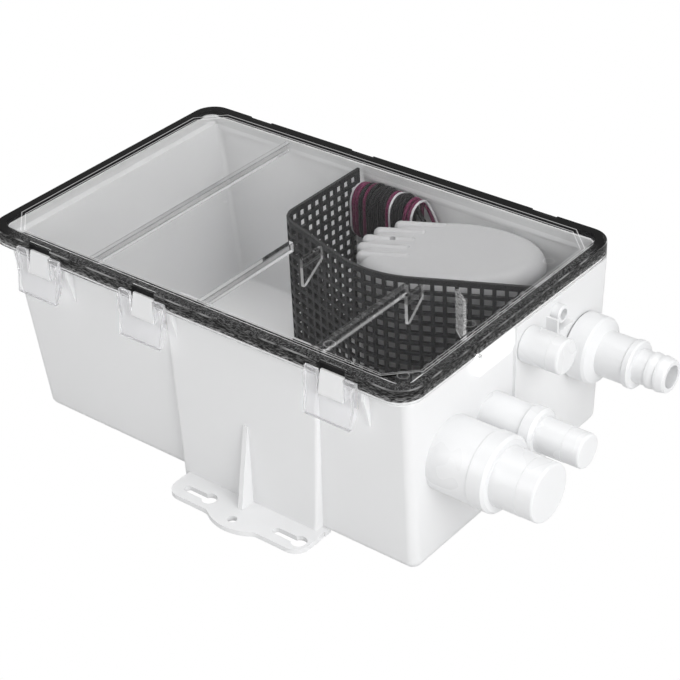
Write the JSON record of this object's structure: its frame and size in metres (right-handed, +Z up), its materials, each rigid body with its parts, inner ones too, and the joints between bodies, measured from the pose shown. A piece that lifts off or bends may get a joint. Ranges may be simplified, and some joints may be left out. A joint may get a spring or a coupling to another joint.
{
  "type": "shower sump pump",
  "caption": "Clear-lidded white sump tank with a curved filter screen, an oval submersible pump, stepped inlet tails, a check-valved hose outlet and two keyholed feet.",
  "frame": {"origin": "on the tank's flat floor, under the middle of the lid", "axes": "+X towards the wall with the hose tails, +Y towards the pump's side, +Z up"},
  "size_m": [0.358, 0.2378, 0.1179],
  "materials": {
    "tank_white": "satin moulded ABS",
    "tail_white": "gloss moulded ABS",
    "lid_clear": "clear polycarbonate",
    "gasket_black": "matt rubber",
    "screen_black": "satin",
    "pump_grey": "satin",
    "pump_inner": "matt",
    "rubber_black": "matt rubber",
    "steel": "satin",
    "magnet": "dull",
    "bronze": "satin",
    "carbon": "matt",
    "float_grey": "satin",
    "wire_black": "gloss PVC"
  },
  "bodies": {
    "tank": {"sump_tank": "tank_white", "inlet_tail_large": "tail_white", "inlet_tail_medium": "tail_white", "inlet_tail_small": "tail_white", "valve_housing": "tail_white", "valve_seat": "tail_white", "outlet_barb": "tail_white", "cable_tube": "tail_white", "pump_housing": "pump_grey", "pump_bulkhead": "pump_inner", "pump_base": "pump_grey", "pump_base_screws": "steel", "volute_casing": "pump_inner", "outlet_elbow": "pump_inner", "outlet_sleeve": "rubber_black", "motor_can": "steel", "motor_end_plate": "steel", "motor_magnets": "magnet", "carbon_brushes": "carbon", "brush_card": "pump_inner", "upper_bearing": "bronze", "lower_bearing": "bronze", "shaft_seal": "rubber_black", "float_bracket": "pump_inner", "float_pin": "steel", "float_switch": "pump_inner", "lead_hank_left": "wire_black", "lead_hank_right": "wire_black", "pump_lead": "wire_black"},
    "lid": {"clear_lid": "lid_clear", "lid_gasket": "gasket_black"},
    "clip_near_left": {"lid_clip_near_left": "lid_clear"},
    "clip_near_middle": {"lid_clip_near_middle": "lid_clear"},
    "clip_near_right": {"lid_clip_near_right": "lid_clear"},
    "clip_far_left": {"lid_clip_far_left": "lid_clear"},
    "clip_far_middle": {"lid_clip_far_middle": "lid_clear"},
    "clip_far_right": {"lid_clip_far_right": "lid_clear"},
    "screen": {"filter_screen": "screen_black"},
    "rotor": {"impeller": "pump_inner", "motor_shaft": "steel", "motor_armature": "steel", "commutator": "bronze"},
    "float": {"switch_float": "float_grey"},
    "flap": {"valve_flap": "rubber_black"},
    "cap_large": {"inlet_cap_large": "tail_white"},
    "cap_medium": {"inlet_cap_medium": "tail_white"},
    "cap_small": {"inlet_cap_small": "tail_white"}
  },
  "joints": [
    {"name": "lid_lift", "type": "slide", "parent": "tank", "child": "lid", "axis": [0, 0, 1], "range_m": [0, 0.28]},
    {"name": "clip_near_left_swing", "type": "hinge", "parent": "lid", "child": "clip_near_left", "pos_m": [-0.1063, -0.09595, 0.1136], "axis": [-1, 0, 0], "range_deg": [0, 12], "stiffness_Nm_per_rad": 0.8},
    {"name": "clip_near_middle_swing", "type": "hinge", "parent": "lid", "child": "clip_near_middle", "pos_m": [-0.0268, -0.09595, 0.1136], "axis": [-1, 0, 0], "range_deg": [0, 12], "stiffness_Nm_per_rad": 0.8},
    {"name": "clip_near_right_swing", "type": "hinge", "parent": "lid", "child": "clip_near_right", "pos_m": [0.1032, -0.09595, 0.1136], "axis": [-1, 0, 0], "range_deg": [0, 12], "stiffness_Nm_per_rad": 0.8},
    {"name": "clip_far_left_swing", "type": "hinge", "parent": "lid", "child": "clip_far_left", "pos_m": [-0.1063, 0.09595, 0.1136], "axis": [1, 0, 0], "range_deg": [0, 12], "stiffness_Nm_per_rad": 0.8},
    {"name": "clip_far_middle_swing", "type": "hinge", "parent": "lid", "child": "clip_far_middle", "pos_m": [-0.0268, 0.09595, 0.1136], "axis": [1, 0, 0], "range_deg": [0, 12], "stiffness_Nm_per_rad": 0.8},
    {"name": "clip_far_right_swing", "type": "hinge", "parent": "lid", "child": "clip_far_right", "pos_m": [0.1032, 0.09595, 0.1136], "axis": [1, 0, 0], "range_deg": [0, 12], "stiffness_Nm_per_rad": 0.8},
    {"name": "screen_lift", "type": "slide", "parent": "tank", "child": "screen", "axis": [0, 0, 1], "range_m": [0, 0.16]},
    {"name": "rotor_spin", "type": "hinge", "parent": "tank", "child": "rotor", "pos_m": [0.0706, 0.042, 0.04], "axis": [0, 0, 1], "continuous": true},
    {"name": "float_swing", "type": "hinge", "parent": "tank", "child": "float", "pos_m": [0.04975, 0.03077, 0.046], "axis": [-0.4695, 0.8829, 0], "range_deg": [0, 20]},
    {"name": "check_flap", "type": "hinge", "parent": "tank", "child": "flap", "pos_m": [0.15478, 0.0633, 0.0764], "axis": [0, -1, 0], "range_deg": [0, 35]},
    {"name": "cap_large_pull", "type": "slide", "parent": "tank", "child": "cap_large", "axis": [1, 0, 0], "range_m": [0, 0.03]},
    {"name": "cap_medium_pull", "type": "slide", "parent": "tank", "child": "cap_medium", "axis": [1, 0, 0], "range_m": [0, 0.03]},
    {"name": "cap_small_pull", "type": "slide", "parent": "tank", "child": "cap_small", "axis": [1, 0, 0], "range_m": [0, 0.03]}
  ],
  "couplings": [
    {"joint": "screen_lift", "follows": "lid_lift", "ratio": 0.55}
  ]
}
